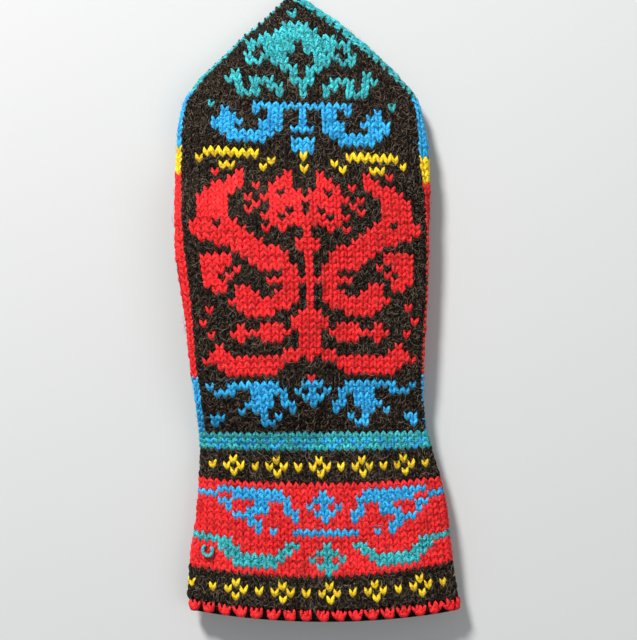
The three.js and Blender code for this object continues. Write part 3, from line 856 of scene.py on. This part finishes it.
for label, side in (("Left", -1), ("Right", 1)):
    pieces.append((clothPiece("band%sCloth" % label, handRow, tipRow, acrossBand(side),
                              lambda r, j: zoneYarn(r)), "wool_blue", ("side_band_%s" % label.lower(),)))
    pieces.append((knitField("band%sStitches" % label, handRow, tipRow - 1, bandColumns(side),
                             lambda c, r: zoneYarn(r), seed=15 + side), "wool_blue", ()))
print("hand, cuff and braid knitted")

thumbOutline = {"up": (93, 95.5, 100, 107, 125, 142, 152, 158, 162),
                "half": (4, 11.5, 16, 17.6, 17.2, 16, 13.2, 9.4, 3.6)}


# Points round the thumb at a height, by share of the way from its upper middle, and the length round it
def thumbRow(up, shares):
    half = max(tableValue(thumbOutline, "half", up), thumb["leastHalf"])
    rise = thumb["thick"] / 2 * min(1, math.sqrt(half / thumb["thick"]))

    def ringPoint(angle):
        x = thumb["x"] + (up - thumb["root"]) * thumb["lean"] + half * np.cos(angle)
        z = thumb["thick"] / 2 + rise * np.clip(sectionHeight(angle) * hand["flatReach"], -1, 1)
        return np.stack([x, np.full_like(x, hand["hemDatum"] + up), z], -1)

    angles = ringAngles(thumb["ring"])
    lengths, turns = lengthsAlong(ringPoint(angles)), np.floor(shares)
    reached = np.interp((shares - turns) * lengths[-1], lengths, angles) - turns * 2 * np.pi
    return ringPoint(reached), lengths[-1]


# Heights of the thumb's rows, a stitch's span above and below its place, and the row that dots count from
thumbKnit = {"low": 94.2, "high": 159.5, "sink": 1.35, "fewest": 4, "above": 2.1, "below": 0.5, "dotRow": 37}


def knitThumb():
    stitches, pitch, step = [], stitchSizes["pitch"], stitchSizes["row"]
    for row in range(int((thumbKnit["high"] - thumbKnit["low"]) / step) + 1):
        up = thumbKnit["low"] + row * step
        count = max(2 * round(thumbRow(up, np.zeros(1))[1] / pitch / 2), thumbKnit["fewest"])
        labels = np.arange(count) - count // 2
        shares = (labels + 0.5) / count
        across = thumbRow(up, shares + 0.5 / count)[0] - thumbRow(up, shares - 0.5 / count)[0]
        along = thumbRow(up + thumbKnit["above"], shares)[0] - thumbRow(up - thumbKnit["below"], shares)[0]
        origins = thumbRow(up, shares)[0] - thumbKnit["sink"] * unit(np.cross(across, along))
        yarn = [dotYarn(int(label), row + thumbKnit["dotRow"]) for label in labels]
        stitches.extend(zip(origins, across, along, yarn))
    return knit("thumbStitches", stitches, seed=18)


# Cloth of the thumb: the solid itself, merged and drawn in
def thumbCloth():
    body = bmesh.new()
    body.from_mesh(frame["nodes"]["thumb"].data)
    bmesh.ops.remove_doubles(body, verts=body.verts, dist=thumb["merge"] * mm)
    body.normal_update()
    for vertex in body.verts:
        vertex.co -= vertex.normal * thumb["clothInset"] * mm
    mesh = bpy.data.meshes.new("thumbCloth")
    body.to_mesh(mesh)
    body.free()
    mesh.materials.clear()
    # The thumb's cloth is the charcoal darkened by painted shade
    mesh.materials.append(paintedShadeMaterials[yarnNames.index(charcoal)])
    return addObject("thumbCloth", mesh)


pieces.append((thumbCloth(), "wool_charcoal", ("thumb",)))
pieces.append((knitThumb(), "wool_charcoal", ()))
print("thumb knitted")

# Picots: a plump folded lobe for every two stitches, each with two loops of yarn over it
picot = {"count": 33, "low": 1.3, "top": 4.6, "frameUp": 2.5, "halfWidth": 2.05, "thick": 1.5, "sink": 1.2,
         "rings": 6, "sides": 12, "phase": -1.05, "swell": 0.35, "widthSpread": (0.72, 1.12),
         "heightSpread": (0.9, 1.1), "shift": (-0.55, 0.55), "squareness": 0.7, "ringLength": 0.6,
         "loopRow": 0.75, "loopApart": 0.4, "loopWidth": 0.8, "loopHeight": 0.86, "loopSway": 0.3, "seed": 21}


def picotPlaces():
    every = ringColumns / picot["count"]
    steps = np.arange(picot["count"]) * every + picot["phase"]
    return steps + picot["swell"] * np.sin(2 * np.pi * steps / ringColumns)


def picotFrame(place):
    low, high = (fabricRow(picot[end], [place])[0] for end in ("low", "top"))
    right, left = (fabricRow(picot["frameUp"], [place + step])[0] for step in (1, -1))
    across, along = right - left, high - low
    return (low + high) / 2, unit(across), unit(along), unit(np.cross(across, along))


def picotLobes():
    parts, dice = [], np.random.default_rng(picot["seed"])
    rings, sides = picot["rings"], picot["sides"]
    top = (rings - 2) * sides
    for place in picotPlaces():
        middle, across, along, normal = picotFrame(place)
        wide = picot["halfWidth"] * dice.uniform(*picot["widthSpread"])
        tall = (picot["top"] - picot["low"]) / 2 * dice.uniform(*picot["heightSpread"])
        middle = middle - normal * picot["sink"] + across * dice.uniform(*picot["shift"])
        vertices, faces, uvs = [], [], []
        for k in range(1, rings):
            polar = math.pi * k / rings
            centre, girth = middle - along * math.cos(polar) * tall, math.sin(polar) ** picot["squareness"]
            for j in range(sides):
                angle = 2 * math.pi * j / sides
                spoke = across * math.cos(angle) * wide + normal * math.sin(angle) * picot["thick"]
                vertices.append(centre + spoke * girth)
                uvs.append((j / sides, k * picot["ringLength"]))
        vertices += [middle - along * tall, middle + along * tall]
        uvs += [(0.0, 0.0), (0.0, rings * picot["ringLength"])]
        last = len(vertices) - 1
        for j in range(sides):
            k = (j + 1) % sides
            faces.append((last - 1, k, j))
            for ring in range(0, top, sides):
                faces.append((ring + j, ring + k, ring + sides + k, ring + sides + j))
            faces.append((last, top + j, top + k))
        parts.append((vertices, faces, uvs))
    return yarnObject("picotLobes", parts, [yarnMaterials[yarnNames.index(red)]])


def picotLoops():
    places = np.concatenate([picotPlaces() - picot["loopApart"], picotPlaces() + picot["loopApart"]])
    origins, acrosses, alongs = stitchFrames(picot["loopRow"], lambda up: places)
    stitches = zip(origins, acrosses * picot["loopWidth"], alongs * picot["loopHeight"], [red] * len(places))
    return knit("picotLoops", list(stitches), seed=22, sway=picot["loopSway"])


pieces.append((picotLobes(), "wool_red", ("picot_edge",)))
# Hem facing: charcoal cloth in its painted-shade material, which paints the gaps between the picots in shade
pieces.append((clothPiece("hemFacing", sectionRows["facing"], cuffRow, aroundRing, lambda r, j: charcoal,
                          ring=True), "wool_charcoal", ()))
pieces.append((picotLoops(), "wool_red", ()))

# Small loop of teal yarn that stands out of the cuff's left end; lengths in millimetres
looseLoop = {"column": -15.7, "row": 9.6, "radius": 2.1, "yarn": 0.7, "rise": 1.9, "sink": 0.5, "steps": 18,
             "sides": 8, "turn": 5.2}
# Steps in columns and in millimetres that the directions of the knitting are measured over
probe = {"column": 0.1, "up": 0.3}


def yarnLoop():
    column = looseLoop["column"]
    base, beside = fabricRow(upOfRow(looseLoop["row"]), [column, column + probe["column"]])
    across, up = unit(beside - base), np.array([0, 1, 0])
    out = np.cross(across, up)
    points, radii = [], []
    for i in range(looseLoop["steps"] + 1):
        share = i / looseLoop["steps"]
        angle = math.pi * 1.5 + (share - 0.5) * looseLoop["turn"]
        rise = looseLoop["rise"] * math.sin(math.pi * share) ** 0.5 - looseLoop["sink"]
        spoke = math.cos(angle) * across + math.sin(angle) * up
        points.append(base + looseLoop["radius"] * spoke + out * rise)
        radii.append(looseLoop["yarn"] if 0 < i < looseLoop["steps"] else 0)
    return yarnObject("looseLoop", [tube(points, radii, looseLoop["sides"])],
                      [yarnMaterials[yarnNames.index(teal)]])


pieces.append((yarnLoop(), "wool_teal", ()))
print("picots made")

# Stray fibres: bent hairs laid at random over the knitting, in a paler wool; lengths in millimetres
hairShapes = {
    "lying": ((-1.3, -0.3, -0.1), (-0.5, 0.05, 0.16), (0.5, 0.12, 0.16), (1.3, -0.2, -0.1)),
    "bent": ((-0.9, -0.6, -0.15), (-0.3, 0.2, 0.25), (0.4, 0.3, 0.4), (1.0, -0.3, 0.3)),
    "long": ((-2.6, -0.8, -0.2), (-1.2, 0.35, 0.5), (0.8, 0.6, 0.9), (3.0, -0.7, 0.9)),
}
hairCounts = {"lying": 6500, "bent": 4000, "long": 1100}
hairSizes = {"radius": 0.05, "sides": 3, "rows": (1.5, 97.5), "backShare": 0.72, "scale": (0.7, 1.35),
             "height": (-0.15, 0.2), "sway": 0.25, "seed": 31}


def hairTemplate(kind):
    points = hairShapes[kind]
    radii = [0] + [hairSizes["radius"]] * (len(points) - 2) + [0]
    return yarnObject(kind + "Hair", [tube(points, radii, hairSizes["sides"])])


# Yarn of the stitch at a place on the knitting
def yarnAt(row, column, edge):
    base = int(row - chartSizes["stitchMiddle"])
    if row < braidRow:
        return cuffYarn(round(column), max(base, cuffRow))
    if row < handRow:
        return braidYarn(0, base)
    if column >= edge:
        return charcoal
    return zoneYarn(base) if abs(column) > edge - hand["bandColumns"] else chart[round(column), base]


# Random places on the knitting: a row and a column each, with the yarn under them
def strewHairs(kind, seed):
    dice, stitches = np.random.default_rng(seed), []
    for _ in range(hairCounts[kind]):
        row = dice.uniform(*hairSizes["rows"])
        up = upOfRow(row)
        edge, lap = rowAt(up)["edge"], rowAt(up)["lap"]
        onBack = dice.uniform() < hairSizes["backShare"]
        column = dice.uniform(-edge, edge) if onBack else dice.uniform(edge, lap - edge)
        if dice.uniform() > lap / ringColumns:
            continue
        spot, beside = fabricRow(up, [column, column + probe["column"]])
        across, along = unit(beside - spot), unit(fabricRow(up + probe["up"], [column])[0] - spot)
        angle = dice.uniform(0, 2 * np.pi)
        x, y = across * np.cos(angle) + along * np.sin(angle), along * np.cos(angle) - across * np.sin(angle)
        size = dice.uniform(*hairSizes["scale"])
        spot = spot + np.cross(across, along) * dice.uniform(*hairSizes["height"])
        stitches.append((spot, x * stitchSizes["pitch"] * size, y * stitchSizes["row"] * size,
                         yarnAt(row, column, edge)))
    return knit(kind + "Fibres", stitches, seed, hairSizes["sway"], hairTemplate(kind), hairMaterials)


for number, kind in enumerate(hairShapes):
    pieces.append((strewHairs(kind, hairSizes["seed"] + number), "wool_charcoal", ()))
print("fibres strewn")
for piece, slot, nodes in pieces:
    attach(piece, "root")
    if nodes:
        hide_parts(*nodes)

# Pale floor and soft studio light
floorSizes = {"half": 3.0, "top": -0.0003, "colour": (0.56, 0.56, 0.55), "roughness": 0.9}
floorCorners = [(x * floorSizes["half"], y * floorSizes["half"], floorSizes["top"])
                for x, y in ((-1, -1), (1, -1), (1, 1), (-1, 1))]
floorMaterial, floorShader = newMaterial("floor")
fillInputs(floorMaterial.node_tree, floorShader,
           {"Base Color": colour(floorSizes["colour"]), "Roughness": floorSizes["roughness"]})
floor = meshObject("floor", floorCorners, [(0, 1, 2, 3)], [floorMaterial])

lights = {
    "key": {"place": (-0.55, 1.05, 0.85), "target": (0, 0.02, 0), "size": 0.3, "power": 34},
    "fill": {"place": (0.9, -0.5, 1.2), "target": (0, 0, 0), "size": 1.2, "power": 5},
}
for name, sizes in lights.items():
    data = bpy.data.lights.new(name, "AREA")
    data.shape, data.size, data.energy = "DISK", sizes["size"], sizes["power"]
    light = addObject(name, data)
    light.location = sizes["place"]
    aim = Vector(sizes["target"]) - light.location
    light.rotation_euler = aim.to_track_quat("-Z", "Y").to_euler()
studio = {"colour": (0.9, 0.95, 1.0), "strength": 0.34}
world = bpy.data.worlds.new("studio")
world.use_nodes = True
fillInputs(world.node_tree, world.node_tree.nodes["Background"],
           {0: colour(studio["colour"]), 1: studio["strength"]})
scene.world = world
scene.view_settings.view_transform = "Standard"

for helper in [template] + [bpy.data.objects[kind + "Hair"] for kind in hairShapes]:
    bpy.data.objects.remove(helper)
